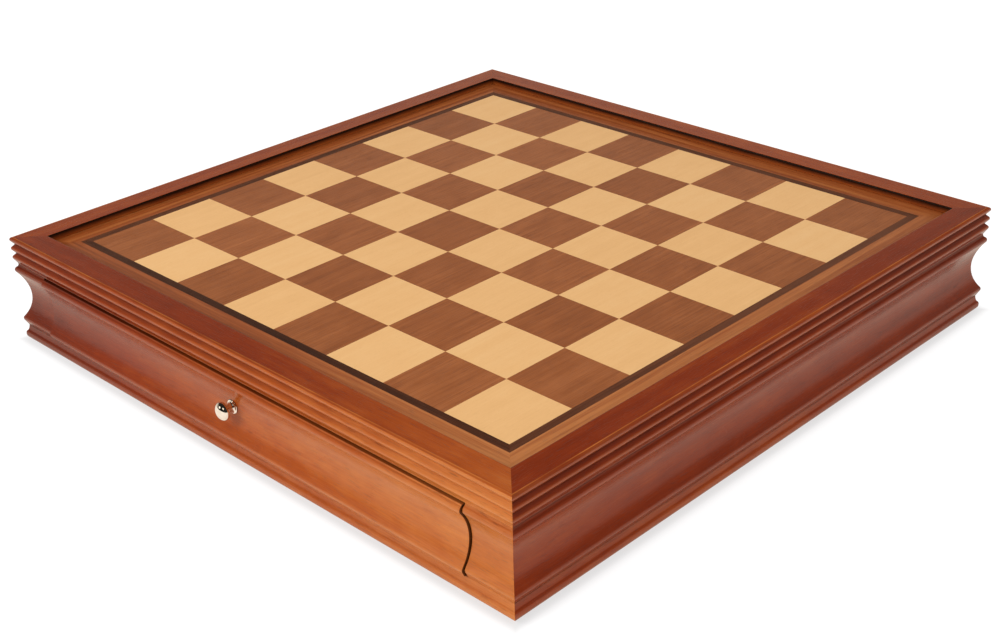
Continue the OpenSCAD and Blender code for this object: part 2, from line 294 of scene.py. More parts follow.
def makeLacquerSkin():
    # slow waves and fine dimples of a sprayed finish
    tree, given, gives = startGroup("lacquerSkin", {"Place": "Vector"},
                                    {"Dimples": "Float", "Haze": "Float"})
    dimpleSize, hazeSize = 2.2 * mm, 35 * mm
    haze = noiseAt(tree, given["Place"], [hazeSize] * 3, 3.0, 0.6)
    fillInputs(tree, gives, {
        "Dimples": noiseAt(tree, given["Place"], [dimpleSize] * 3, 2.0),
        "Haze": remap(tree, haze, 0.3, 0.7)})
    return tree


woodGrain = makeWoodGrain()
veneerTiles = makeVeneerTiles()
edgeMarksAndPaintedLight = makeEdgeMarksAndPaintedLight()
lacquerSkin = makeLacquerSkin()
print("shader node groups made")


# Wood materials

woodKinds = {
    # tones run from dark to light; streak, fibre and mottle are how far each moves the tone, its
    # length and its width, pores how much of their tone shows and the same; in millimetres
    "stainedWood": {
        "tones": ("#601a06", "#862f0c", "#ac5019", "#d07a38"), "poreTone": "#3a130b",
        "streak": (0.16, 260, 10), "fibre": (0.16, 26, 0.8),
        "pores": (0.35, 9, 0.45), "mottle": (0.12, 24, 12),
        "wander": 8, "roughness": 0.25, "gloss": 0.32, "relief": 0.012,
    },
    "darkVeneer": {
        "tones": ("#723a18", "#985326", "#b66c3a"), "poreTone": "#3e2016",
        "streak": (0.14, 240, 3.2), "fibre": (0.48, 70, 0.8),
        "pores": (0.30, 10, 0.4), "mottle": (0.22, 24, 13),
        "wander": 1.5, "roughness": 0.34, "gloss": 0.33, "relief": 0.03,
    },
    "lightVeneer": {
        "tones": ("#e5ad6d", "#f1bb7b", "#f7c88b"), "poreTone": "#bf8a52",
        "streak": (0.16, 180, 8), "fibre": (0.22, 30, 0.9),
        "pores": (0.12, 3, 0.35), "mottle": (0.14, 16, 10),
        "wander": 4, "roughness": 0.36, "gloss": 0.33, "relief": 0.015,
    },
    "stripeVeneer": {
        "tones": ("#28120a", "#482412", "#6c3c24"), "poreTone": "#160b08",
        "streak": (0.30, 150, 2.2), "fibre": (0.40, 40, 0.6),
        "pores": (0.30, 9, 0.4), "mottle": (0.15, 40, 10),
        "wander": 1.5, "roughness": 0.34, "gloss": 0.15, "relief": 0.03,
    },
    "borderVeneer": {
        "tones": ("#682e10", "#9c4e20", "#c4783e"), "poreTone": "#40221a",
        "streak": (0.45, 240, 3.2), "fibre": (0.35, 45, 0.7),
        "pores": (0.30, 10, 0.4), "mottle": (0.10, 40, 12),
        "wander": 2.5, "roughness": 0.34, "gloss": 0.33, "relief": 0.03,
    },
    "plywood": {
        "tones": ("#b48652", "#cfa46c", "#dfba86"), "poreTone": "#8f6538",
        "streak": (0.40, 300, 22), "fibre": (0.25, 40, 1.0),
        "pores": (0.25, 6, 0.4), "mottle": (0.15, 50, 25),
        "wander": 20, "roughness": 0.62, "gloss": 0.25, "relief": 0.05,
    },
    "boxWood": {
        "tones": ("#bb8a54", "#d6aa72", "#e6c18e"), "poreTone": "#94683c",
        "streak": (0.40, 220, 7), "fibre": (0.25, 40, 0.9),
        "pores": (0.20, 6, 0.4), "mottle": (0.15, 40, 20),
        "wander": 9, "roughness": 0.55, "gloss": 0.25, "relief": 0.05,
    },
}


toneSpan = 240 * mm         # from the middle of the box to where a piece's end tones hold

lacquer = {
    "haze": 0.06,           # spread of the roughness in its slow waves
    "pores": 0.10,          # roughness that the pores add
    "grooves": 0.15,        # and that the stain in grooves adds
    "dimples": 0.006 * mm,  # depth of the sprayed surface
}

frameEdges = {
    # share and tone of each mark, which are wear, stain, end grain and painted light and shade,
    # and the painted shade on a moulded side where it faces up
    "rub": 0.40, "rubTone": "#d07c38", "groove": 0.95, "grooveTone": "#300c04",
    "sawn": 0.95, "sawnTone": "#1e0a04", "settle": 0.13,
}


def sizeVector(along, across):
    return (along * mm, across * mm, across * mm)


def grainPlace(tree, direction):
    # the surface's own coordinates, with the grain's direction first
    place = put(tree, "TexCoord").outputs["Object"]
    if direction == "X":
        return place
    parts = put(tree, "SeparateXYZ", {0: place}).outputs
    return put(tree, "CombineXYZ", {i: parts[axis] for i, axis in enumerate("YXZ")}).outputs[0]


def toneAlong(tree, along, tone):
    # tone is given at one end, in the middle and at the other end
    first, middle, last = tone
    return calc(tree, "ADD", remap(tree, along, -toneSpan, 0, first, middle),
                remap(tree, along, 0, toneSpan, 0, last - middle))


def makeWood(name, kind, direction, seed, tone=(0.5, 0.5, 0.5), tile=None, edges=None,
             beads=None):
    # tone runs along the piece, 0 is dark and 1 is light; beads is the same for a rail's
    # moulded side, tile cuts the wood into squares, and edges is for wood with marks on it,
    # painted light and shade among them
    look = woodKinds[kind]
    material, tree, shader = startMaterial(name)
    place = grainPlace(tree, direction)
    along = put(tree, "SeparateXYZ", {0: place}).outputs["X"]
    depth = toneAlong(tree, along, tone)
    if edges:
        marks = {label: put(tree, "Attribute", attribute_name=label.lower()).outputs["Fac"]
                 for label in ("Rub", "Groove", "Sawn", "Side")}
        side = marks.pop("Side")
        # painted shade: a moulded side gets darker where it faces up and lighter where it faces
        # down
        normal = put(tree, "SeparateXYZ", {0: put(tree, "NewGeometry").outputs["Normal"]})
        facingUp = calc(tree, "MULTIPLY", normal.outputs["Z"], side)
        depth = calc(tree, "MULTIPLY_ADD", facingUp, -edges["settle"], depth)
    if beads:
        depth = put(tree, "Mix", {0: side, 2: depth, 3: toneAlong(tree, along, beads)})
        depth = depth.outputs[0]
    if tile:
        tiles = useGroup(tree, veneerTiles, {"Place": place, "Tile Size": tile["size"]})
        depth = calc(tree, "MULTIPLY_ADD", tiles["Tone"], tile["spread"], depth)
        place = vectorCalc(tree, "ADD", place, tiles["Shift"])
    grain = useGroup(tree, woodGrain, {
        "Place": place, "Seed": seed, "Wander": look["wander"] * mm,
        **{part + " Size": sizeVector(*look[part.lower()][1:]) for part in grainParts}})
    for part in ("streak", "fibre", "mottle"):
        swing = calc(tree, "SUBTRACT", grain[part.capitalize()], 0.5)
        depth = calc(tree, "MULTIPLY_ADD", swing, look[part][0], depth)
    color = toneRamp(tree, depth, look["tones"])
    poreShare = calc(tree, "MULTIPLY", grain["Pores"], look["pores"][0])
    color = mixColor(tree, poreShare, color, paint(look["poreTone"]))
    skin = useGroup(tree, lacquerSkin, {"Place": place})
    rough = calc(tree, "MULTIPLY_ADD", skin["Haze"], lacquer["haze"],
                 look["roughness"] - lacquer["haze"] / 2)
    rough = calc(tree, "MULTIPLY_ADD", grain["Pores"], lacquer["pores"], rough)
    if edges:
        wornAndPaintedLight = useGroup(tree, edgeMarksAndPaintedLight, {"Place": place, **marks})
        # the lighter the wood, the less its grooves darken with stain and painted shade
        shares = {"Rub": edges["rub"], "Groove": remap(tree, depth, 0, 1, edges["groove"], 0),
                  "Sawn": edges["sawn"]}
        # each mark mixes in its tone: lighter for rubbed wood and painted highlight, darker for
        # stain, end grain and painted shade
        for mark, share in shares.items():
            amount = calc(tree, "MULTIPLY", wornAndPaintedLight[mark], share)
            color = mixColor(tree, amount, color, paint(edges[mark.lower() + "Tone"]))
        rough = calc(tree, "MULTIPLY_ADD", wornAndPaintedLight["Groove"], lacquer["grooves"], rough)
    bump = bumpFrom(tree, grain["Relief"], look["relief"] * mm)
    bump = bumpFrom(tree, skin["Dimples"], lacquer["dimples"], Normal=bump)
    fillInputs(tree, shader, {"Base Color": color, "Roughness": rough, "Normal": bump,
                              "Specular IOR Level": look["gloss"]})
    return material


# Felt and metal materials

feltLook = {
    "tones": ("#0d3a22", "#165a35", "#2a7a4a"),
    "cloudSize": 14 * mm, "cloudShare": 0.35,
    "hairSize": 0.7 * mm, "hairShare": 0.65, "hairDepth": 0.25 * mm,
}

metals = {
    # smudge is the roughness that fingers add, scratch the depth of fine lines in millimetres
    "chrome": {"tones": ("#f1ece6", "#ddd6ce"), "roughness": 0.04, "smudge": 0.10,
               "scratch": 0.001},
    "zincPlate": {"tones": ("#b9bbc0", "#94969c"), "roughness": 0.30, "smudge": 0.15,
                  "scratch": 0.01},
}


def makeFelt(name, tones, cloudSize, cloudShare, hairSize, hairShare, hairDepth):
    material, tree, shader = startMaterial(name)
    place = put(tree, "TexCoord").outputs["Object"]
    clouds = noiseAt(tree, place, [cloudSize] * 3, 3.0)
    hairs = noiseAt(tree, place, [hairSize] * 3, 4.0, 0.7)
    depth = calc(tree, "MULTIPLY_ADD", clouds, cloudShare,
                 calc(tree, "MULTIPLY", hairs, hairShare))
    fillInputs(tree, shader, {
        "Base Color": toneRamp(tree, remap(tree, depth, 0.3, 0.7), tones),
        "Roughness": 0.95, "Normal": bumpFrom(tree, hairs, hairDepth),
        "Sheen Weight": 0.35, "Sheen Roughness": 0.5})
    return material


def makeMetal(name, tones, roughness, smudge, scratch):
    material, tree, shader = startMaterial(name)
    place = put(tree, "TexCoord").outputs["Object"]
    smearSize, lineSize = 3.5 * mm, (4 * mm, 0.12 * mm, 4 * mm)
    smears = remap(tree, noiseAt(tree, place, [smearSize] * 3, 3.0, 0.6), 0.42, 0.75)
    lines = noiseAt(tree, place, lineSize, 2.0)
    fillInputs(tree, shader, {
        "Base Color": toneRamp(tree, smears, tones), "Metallic": 1.0,
        "Roughness": calc(tree, "MULTIPLY_ADD", smears, smudge, roughness),
        "Normal": bumpFrom(tree, lines, scratch * mm)})
    return material


# Moulded pieces: the section and the ends come from the CAD node that each one replaces

sweepFinish = {
    "straight": radians(0.5),   # a bend that is smaller than this is none
    "arcStep": radians(7),      # an arc of the section is filled in with steps of this size
    "sharp": radians(40),       # a section's corner that turns further than this stays a corner
    "longStep": 2.5,            # a side that is so many times longer than the next is straight
    "cornerEase": 0.35 * mm,    # rounding of the section's outer corners
    "cornerShare": 0.4,         # the most of a side that a rounding takes
    "cutEase": 0.25 * mm,       # rounding round a sawn end
    "mitreEase": 0.04 * mm,     # and round a glued mitre
    "easeSteps": 3,             # faces across such a rounding
    "flatMargin": 0.3 * mm,     # a flat keeps its normals up to here from its edges
    "rimMargin": 0.01 * mm,     # points so near to a rim's height lie on the rim
    "sharpNormals": radians(38),  # an edge that bends further than this shows as an edge
}

# marks that the moulded pieces carry for their material, wear and painted light and shade;
# lengths in metres
wearAndPaintedLight = {
    "same": 0.02 * mm,          # two heights that differ by less are one
    "curlStart": 0.3,           # a nose is rubbed where it turns faster than this, in radians
    "curlSpan": 0.6,            # for each millimetre, and fully where it turns this much faster
    "rubReach": 0.45 * mm,      # how far the rubbed wood spreads from a nose
    "grooveReach": 0.9 * mm,    # how far the darkening spreads from a groove: stain and painted shade
    "hiddenFlatShade": 0.7,          # how dark the painted shade is on a flat that faces another piece
    "hiddenFrom": 0.2 * mm,     # and how far in from its edge that starts
    "lipTop": 1.6,              # how dark the painted shade on the lip round the board gets towards its top
    "lipDepth": 0.5 * mm,       # points so near to its face belong to it
    "topEdge": 2.2,             # how much lighter the outer edge of the frame's top face is, worn and with a painted highlight
    "topEdgeWidth": 0.32 * mm,  # how far that reaches to both sides
    "topEdgeDepth": 0.3 * mm,   # and down
    "sideDepth": 10 * mm,       # the moulded side reaches so far in
    "sideDrop": 0.6 * mm,       # and starts so far below the top face
}

rimPoints = {
    # which ends of the section lie in a groove between two mouldings
    "top_rail": ("low",), "side_moulding": ("low", "high"), "corner": ("low", "high"),
    "base_rail": ("high",), "drawer_face": ("low", "high"),
}


def toSide(turn):
    # quarter turns that carry a piece from the back of the box to its own side
    return Matrix.Rotation(turn * pi / 2, 4, "Z")


def isMitre(slope):
    # a sawn end has the slope 0, a mitre 1 or -1
    return abs(slope) > 0.5


def closedMesh(name, solid, turn=0):
    # finished mesh of a bmesh that was built at the back of the box
    bmesh.ops.recalc_face_normals(solid, faces=solid.faces)
    solid.transform(toSide(turn))
    mesh = bpy.data.meshes.new(name)
    solid.to_mesh(mesh)
    solid.free()
    return mesh


def sectionOf(node, turn):
    # outline (outwards, up) of a moulded node, and where its ends lie: slope * outwards + start
    solid = bmesh.new()
    solid.from_mesh(cadNodes[node].data)
    solid.transform(toSide(-turn))
    bmesh.ops.remove_doubles(solid, verts=solid.verts, dist=weldDistance)
    bmesh.ops.dissolve_limit(solid, angle_limit=sweepFinish["straight"], verts=solid.verts,
                             edges=solid.edges)
    ends = []
    leastFacing = 0.5    # for sawn ends and mitres
    for way in (-1, 1):
        facing = [face for face in solid.faces if face.normal.x * way > leastFacing]
        cap = max(facing, key=lambda face: len(face.verts))
        points = [vert.co.copy() for vert in cap.verts]
        near = min(points, key=lambda p: p.y)
        far = max(points, key=lambda p: p.y)
        slope = (far.x - near.x) / (far.y - near.y)
        ends.append((slope, near.x - slope * near.y))
    outline = [Vector((p.y, p.z)) for p in points]
    solid.free()
    if signedArea(outline) < 0:
        outline.reverse()
    return outline, ends


def signedArea(outline):
    return sum(a.cross(b) for a, b in zip(outline, outline[1:] + outline[:1])) / 2


def turnAt(before, here, after):
    first, second = here - before, after - here
    return atan2(first.cross(second), first.dot(second))


def neighbours(points):
    return zip(points[-1:] + points[:-1], points, points[1:] + points[:1])


def directionAt(before, here, after):
    # direction of the circle through three points, or of a straight side that ends here
    first, second = here - before, after - here
    if first.length > sweepFinish["longStep"] * second.length:
        return first.normalized()
    if second.length > sweepFinish["longStep"] * first.length:
        return second.normalized()
    return (first / first.length_squared + second / second.length_squared).normalized()


def easeCorners(outline):
    # outline points, each with its direction or None at a corner, and the points of its grooves
    points, grooves = [], []
    for before, here, after in neighbours(outline):
        turn = turnAt(before, here, after)
        if abs(turn) < sweepFinish["sharp"]:
            points.append((here, directionAt(before, here, after)))
        elif turn < 0:
            points.append((here, None))
            grooves.append(here)
        else:
            most = sweepFinish["cornerShare"] * min((here - before).length,
                                                    (after - here).length)
            reach = min(sweepFinish["cornerEase"] * tan(turn / 2), most)
            start = here + reach * (before - here).normalized()
            stop = here + reach * (after - here).normalized()
            points.append((start, (here - before).normalized()))
            points.append((stop, (after - here).normalized()))
    return points, grooves


def fillArcs(points):
    filled = []
    for (here, leave), (there, arrive) in zip(points, points[1:] + points[:1]):
        chord = there - here
        straight = chord.normalized()
        if leave is None:
            leave = straight if arrive is None else 2 * arrive.dot(straight) * straight - arrive
        if arrive is None:
            arrive = 2 * leave.dot(straight) * straight - leave
        bend = leave.angle(arrive)
        margin = sweepFinish["flatMargin"]
        longEnough = chord.length > 4 * margin
        if bend < sweepFinish["straight"] and longEnough:
            filled += [here, here + margin * straight, there - margin * straight]
            continue
        # with these handles a Bezier curve follows a circular arc
        handle = chord.length / (3 * cos(bend / 4) ** 2)
        steps = max(1, ceil(bend / sweepFinish["arcStep"]))
        curve = geometry.interpolate_bezier(here, here + handle * leave,
                                            there - handle * arrive, there, steps + 1)
        filled += [Vector(point[:2]) for point in curve[:-1]]
    return filled


def markOutline(outline, grooves, flats):
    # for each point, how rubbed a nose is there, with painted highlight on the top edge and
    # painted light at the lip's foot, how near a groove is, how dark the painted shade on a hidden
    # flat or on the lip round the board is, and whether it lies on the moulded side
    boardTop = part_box("light_squares")[1].z
    top = max(p.y for p in outline)
    lip = min((p.x for p in outline if p.y > boardTop), default=0)
    outermost = max(p.x for p in outline)
    topEdge = max(p.x for p in outline if p.y > top - wearAndPaintedLight["same"])
    curls = []
    for before, here, after in neighbours(outline):
        length = ((here - before).length + (after - here).length) / 2
        curl = turnAt(before, here, after) / length * mm
        curl = (curl - wearAndPaintedLight["curlStart"]) / wearAndPaintedLight["curlSpan"]
        curls.append((min(max(curl, 0), 1), length))
    marks = []
    for here in outline:
        curled = weight = 0
        for there, (curl, length) in zip(outline, curls):
            near = exp(-((here - there).length / wearAndPaintedLight["rubReach"]) ** 2) * length
            curled += near * curl
            weight += near
        rub = curled / weight
        gaps = [(here - groove).length for groove in grooves]
        groove = exp(-min(gaps, default=1) / wearAndPaintedLight["grooveReach"])
        dark = 0
        # painted shade on a flat that faces another piece across a gap
        if any(abs(here.y - flat.y) < wearAndPaintedLight["same"] and here.x < flat.x - wearAndPaintedLight["hiddenFrom"]
               for flat in flats):
            dark = wearAndPaintedLight["hiddenFlatShade"]
        # painted shade on the lip round the board, darkest at its top, and painted light at its
        # foot
        if here.y > boardTop and here.x < lip + wearAndPaintedLight["lipDepth"]:
            rise = (here.y - boardTop) / (top - boardTop)
            dark = wearAndPaintedLight["lipTop"] * rise
            rub = 1 - rise
        # the outer edge of the top face is lightened: wear, and a painted highlight
        elif (here.y > top - wearAndPaintedLight["topEdgeDepth"] > boardTop
              and abs(here.x - topEdge) < wearAndPaintedLight["topEdgeWidth"]):
            rub = wearAndPaintedLight["topEdge"]
        side = here.x > outermost - wearAndPaintedLight["sideDepth"] and here.y < top - wearAndPaintedLight["sideDrop"]
        marks.append((rub, groove, dark, side))
    return marks


def insetOutline(outline, distance):
    inset = []
    leastCosine = 0.5    # keeps the points of sharp corners from shooting out
    for before, here, after in neighbours(outline):
        along = ((here - before).normalized() + (after - here).normalized()).normalized()
        half = turnAt(before, here, after) / 2
        inwards = Vector((-along.y, along.x))
        inset.append(here + inwards * distance / max(cos(half), leastCosine))
    return inset


def sweep(name, outline, marks, ends, eases, turn, step=None, sway=None):
    # closed mesh along the run between two ends, with eased edges round both ends
    solid = bmesh.new()
    labels = ("rub", "groove", "sawn", "side")
    rub, groove, sawn, side = (solid.verts.layers.float.new(label) for label in labels)
    rings = []
    steps = sweepFinish["easeSteps"]
    arc = [i / steps * pi / 2 for i in range(steps + 1)]
    margin = sweepFinish["flatMargin"]
    plans = [(0, eases[0] * (1 - sin(t)), eases[0] * (1 - cos(t))) for t in arc]
    plans.append((0, 0, eases[0] + margin))
    if step:
        length = ends[1][1] - ends[0][1]
        count = max(2, round(length / step))
        plans += [(i / count, 0, 0) for i in range(1, count)]
    plans.append((1, 0, -eases[1] - margin))
    plans += [(1, eases[1] * (1 - sin(t)), -eases[1] * (1 - cos(t))) for t in reversed(arc)]
    for share, inset, shift in plans:
        ring = []
        for point, mark in zip(insetOutline(outline, inset), marks):
            low, high = (slope * point.x + start for slope, start in ends)
            place = Vector((low + share * (high - low) + shift, point.x, point.y))
            if sway:
                place += sway(place)
            vert = solid.verts.new(place)
            vert[rub], vert[groove], vert[sawn], vert[side] = mark
            # the first and the last ring bound the end faces; a sawn end is darkened as end grain
            # and as painted shade in the gap beside it
            if shift == 0 and inset > 0 and not isMitre(ends[share][0]):
                vert[sawn] = 1
            ring.append(vert)
        rings.append(ring)
    for ring, following in zip(rings, rings[1:]):
        for i, vert in enumerate(ring):
            solid.faces.new((ring[i - 1], vert, following[i], following[i - 1]))
    solid.faces.new(rings[0])
    solid.faces.new(rings[-1])
    return closedMesh(name, solid, turn)


def smoothShade(mesh):
    mesh.shade_smooth()
    mesh.set_sharp_from_angle(angle=sweepFinish["sharpNormals"])


def pieceName(node):
    first, *rest = node.split("_")
    return first + "".join(word.capitalize() for word in rest)


def addPiece(node, mesh, material, body):
    # a piece that stands for a CAD node
    smoothShade(mesh)
    mesh.materials.clear()
    mesh.materials.append(material)
    piece = bpy.data.objects.new(pieceName(node), mesh)
    scene.collection.objects.link(piece)
    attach(piece, body)
    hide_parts(node)
    return piece


def mouldingMesh(node, turn):
    kind = next(key for key in rimPoints if key in node)
    outline, ends = sectionOf(node, turn)
    points, grooves = easeCorners(outline)
    rims = {"low": min(p.y for p in outline), "high": max(p.y for p in outline)}
    flats = []
    for rim in rimPoints[kind]:
        level = [p for p in outline if abs(p.y - rims[rim]) < sweepFinish["rimMargin"]]
        flats.append(max(level, key=lambda p: p.x))
    outline = fillArcs(points)
    eases = [sweepFinish["mitreEase" if isMitre(slope) else "cutEase"] for slope, _ in ends]
    marks = markOutline(outline, grooves + flats, flats)
    return sweep(pieceName(node), outline, marks, ends, eases, turn)


# each piece of wood has a seed of its own
firstSeeds = {"moulding": 1, "squares": 61, "stripe": 70, "border": 80, "panel": 90, "board": 100,
              "bottom": 130}

mouldings = {
    # node: quarter turns from the back, tone of the stain at the -X or -Y end, in the middle and
    # at the other end, and the same for the moulded side where that differs
    "top_rail_front": (2, (0.28, 0.25, 0.72), (0.22, 0.56, 1.00)),
    "top_rail_right": (3, (0.30, 0.37, 0.28)),
    "top_rail_back": (0, (0.45, 0.45, 0.40)),
    "top_rail_left": (1, (0.40, 0.42, 0.45)),
    "side_moulding_right": (3, (0.34, 0.31, 0.22)),
    "side_moulding_left": (1, (0.30, 0.36, 0.42)),
    "corner_front_left": (2, (0.12, 0.5, 0.5)),
    "corner_front_right": (2, (0.5, 0.80, 0.90)),
    "corner_back_left": (0, (0.40, 0.42, 0.42)),
    "corner_back_right": (0, (0.38, 0.38, 0.34)),
    "base_rail_front": (2, (0.14, 0.60, 0.95)),
    "base_rail_right": (3, (0.40, 0.44, 0.27)),
    "base_rail_back": (0, (0.44, 0.40, 0.36)),
    "base_rail_left": (1, (0.36, 0.40, 0.46)),
}


def makeMouldings():
    for seed, (node, (turn, tone, *beads)) in enumerate(mouldings.items(), firstSeeds["moulding"]):
        direction = "Y" if turn % 2 else "X"
        wood = makeWood(pieceName(node) + "Wood", "stainedWood", direction, seed, tone,
                        edges=frameEdges, beads=beads[0] if beads else None)
        addPiece(node, mouldingMesh(node, turn), wood, "case")


def cutAway(mesh, cutter):
    # takes the cutter's shape out of a mesh
    solid = bpy.data.objects.new("cutSolid", mesh)
    tool = bpy.data.objects.new("cutTool", cutter)
    for thing in (solid, tool):
        scene.collection.objects.link(thing)
    boolean = solid.modifiers.new("cut", "BOOLEAN")
    boolean.object = tool
    boolean.operation = "DIFFERENCE"
    boolean.solver = "EXACT"
    made = bpy.data.meshes.new_from_object(
        solid.evaluated_get(bpy.context.evaluated_depsgraph_get()))
    made.name = mesh.name + "Cut"
    for thing in (solid, tool):
        bpy.data.objects.remove(thing)
    return made


# Drawers

drawers = {
    "front": {"turn": 2, "tone": (0.10, 0.64, 1.00), "seed": 31},
    "back": {"turn": 0, "tone": (0.52, 0.44, 0.36), "seed": 47},
}

knobShape = {
    # millimetres, measured from the knob's foot along its axis
    "headRadius": 6.3, "domeHeight": 4.1, "headBack": 2.2, "length": 11.8,
    "neckRadius": 2.8, "footRadius": 4.75, "footRim": 0.9, "flare": 2.6,
    "bore": (2.0, 6.5),  # radius and depth of the hole for the screw
    "seatGap": 0.2,      # between the foot and its flat seat in the wood
    "screwHole": 2.2,    # radius of the hole through the wood
    "sides": 72, "holeSides": 48,
}


def knobOutline(shape):
    # radius and distance from the foot, from the bore's end to the middle of the dome
    rim = shape["length"] - shape["domeHeight"]
    neck, head = shape["neckRadius"], shape["headRadius"]
    boreRadius, boreDepth = shape["bore"]
    foot = Vector((shape["footRadius"], shape["footRim"]))
    waist = Vector((neck, shape["footRim"] + shape["flare"]))
    pull = Vector((neck, shape["footRim"]))
    edge = 0.25
    points = [(0, boreDepth), (boreRadius, boreDepth), (boreRadius, 0),
              (foot.x - edge, 0), (foot.x, edge), (foot.x, foot.y - edge), (foot.x - edge, foot.y)]
    flareSteps, backSteps, domeSteps = 10, 10, 20
    for i in range(1, flareSteps + 1):
        t = i / flareSteps
        points.append(tuple((1 - t) ** 2 * foot + 2 * t * (1 - t) * pull + t * t * waist))
    for i in range(backSteps + 1):
        t = (1 - i / backSteps) * pi / 2
        points.append((neck + (head - neck) * cos(t), rim - shape["headBack"] * sin(t)))
    for i in range(1, domeSteps + 1):
        t = i / domeSteps * pi / 2
        points.append((head * cos(t), rim + shape["domeHeight"] * sin(t)))
    return points


def lathe(name, points, sides, height, foot, turn):
    # turned part along the way out of the box, on the knob's axis; points are in millimetres
    solid = bmesh.new()
    rings = []
    leastRadius = 0.001
    for radius, out in points:
        if radius < leastRadius:
            rings.append([solid.verts.new((0, foot + out * mm, height))] * sides)
            continue
        rings.append([solid.verts.new((radius * mm * cos(2 * pi * i / sides), foot + out * mm,
                                       height + radius * mm * sin(2 * pi * i / sides)))
                      for i in range(sides)])
    for ring, following in zip(rings, rings[1:]):
        for i in range(sides):
            corners = (ring[i - 1], ring[i], following[i], following[i - 1])
            solid.faces.new(list(dict.fromkeys(corners)))
    return closedMesh(name, solid, turn)


def knobPlace(drawer):
    low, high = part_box(drawer + "_drawer_knob")
    return (low.z + high.z) / 2, max(abs(low.y), abs(high.y)) - knobShape["length"] * mm


def makeKnob(drawer, turn, metal):
    node = drawer + "_drawer_knob"
    mesh = lathe(pieceName(node), knobOutline(knobShape), knobShape["sides"],
                 *knobPlace(drawer), turn)
    addPiece(node, mesh, metal, drawer + "_drawer")


def makeDrawerFace(drawer, turn, tone, seed):
    node = drawer + "_drawer_face"
    seat = knobShape["footRadius"] + knobShape["seatGap"]
    hole = knobShape["screwHole"]
    reach = 30    # well past the wood on both sides
    outline = [(0, -reach), (hole, -reach), (hole, 0), (seat, 0), (seat, reach), (0, reach)]
    cutter = lathe("seatCutter", outline, knobShape["holeSides"], *knobPlace(drawer), turn)
    mesh = cutAway(mouldingMesh(node, turn), cutter)
    wood = makeWood(pieceName(node) + "Wood", "stainedWood", "X", seed, tone, edges=frameEdges)
    addPiece(node, mesh, wood, drawer + "_drawer")


lining = {
    "edgeRadius": 1.6 * mm,    # rounding of a covered divider's top edges
    "footEase": 0.3 * mm,      # of its bottom edges
    "endEase": 0.5 * mm,       # and round its ends
    "step": 4 * mm,            # length of its faces
    "sway": 0.12 * mm,         # how far the felt's surface strays
    "swayLength": 12 * mm,     # and the length of its waves
    "sheetThick": 0.9 * mm,
    "sheetGap": 0.4 * mm,      # between the sheet and the box's walls
    "sheetStep": 5 * mm,
}


def feltDrift(place):
    return noise.noise(place / lining["swayLength"])


def dividerSway(place):
    return Vector((0, lining["sway"] * feltDrift(place), 0))


def spanOf(points):
    # lowest and highest corner of the box round some points
    return [Vector([pick(p[i] for p in points) for i in range(3)]) for pick in (min, max)]


def boxesIn(node):
    # lowest and highest corner of each separate solid in a node
    solid = bmesh.new()
    solid.from_mesh(cadNodes[node].data)
    bmesh.ops.remove_doubles(solid, verts=solid.verts, dist=weldDistance)
    left = set(solid.verts)
    boxes = []
    while left:
        found = {left.pop()}
        edge = set(found)
        while edge:
            edge = {e.other_vert(v) for v in edge for e in v.link_edges} - found
            found |= edge
        left -= found
        boxes.append(spanOf([vert.co for vert in found]))
    solid.free()
    return sorted(boxes, key=lambda box: tuple(box[0]))


def coveredBoard(low, high):
    # a board wrapped in felt, with a round top
    turn = 0 if high.x - low.x > high.y - low.y else 1
    low, high = spanOf([toSide(-turn) @ corner for corner in (low, high)])
    radius, foot = lining["edgeRadius"], lining["footEase"]
    sideSteps, roundSteps = 5, 6
    bottom, top = low.z + foot, high.z - radius
    climb = [i / sideSteps * (top - bottom) for i in range(1, sideSteps)]
    points = [(low.y, bottom), (low.y + foot, low.z), (high.y - foot, low.z), (high.y, bottom)]
    points += [(high.y, bottom + up) for up in climb]
    for centre, start in ((high.y - radius, 0), (low.y + radius, pi / 2)):
        for i in range(roundSteps + 1):
            t = start + i / roundSteps * pi / 2
            points.append((centre + radius * cos(t), top + radius * sin(t)))
    points += [(low.y, top - down) for down in climb]
    marks = [(0, 0, 0, 0)] * len(points)
    return sweep("board", [Vector(point) for point in points], marks,
                 [(0, low.x), (0, high.x)], [lining["endEase"]] * 2, turn, lining["step"],
                 dividerSway)


def makeDividers(drawer, felt):
    for part in ("row_divider", "slot_dividers"):
        node = f"{drawer}_drawer_{part}"
        joined = bmesh.new()
        for low, high in boxesIn(node):
            joined.from_mesh(coveredBoard(low, high))
        mesh = closedMesh(pieceName(node), joined)
        addPiece(node, mesh, felt, drawer + "_drawer")


def makeFeltSheet(drawer, felt):
    node = drawer + "_drawer_felt"
    low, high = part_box(node)
    gap = Vector((lining["sheetGap"], lining["sheetGap"], 0))
    low, high = low + gap, high - gap
    size = high - low
    counts = [ceil(size[i] / lining["sheetStep"]) for i in range(2)]
    sheet = bmesh.new()
    rows = []
    for j in range(counts[1] + 1):
        row = []
        for i in range(counts[0] + 1):
            place = Vector((low.x + size.x * i / counts[0], low.y + size.y * j / counts[1], 0))
            place.z = high.z - lining["sway"] * (0.5 + 0.5 * feltDrift(place))
            row.append(sheet.verts.new(place))
        rows.append(row)
    for row, following in zip(rows, rows[1:]):
        for i in range(counts[0]):
            sheet.faces.new((row[i], row[i + 1], following[i + 1], following[i]))
    bmesh.ops.solidify(sheet, geom=sheet.faces[:], thickness=lining["sheetThick"])
    mesh = closedMesh(pieceName(node), sheet)
    piece = addPiece(node, mesh, felt, drawer + "_drawer")


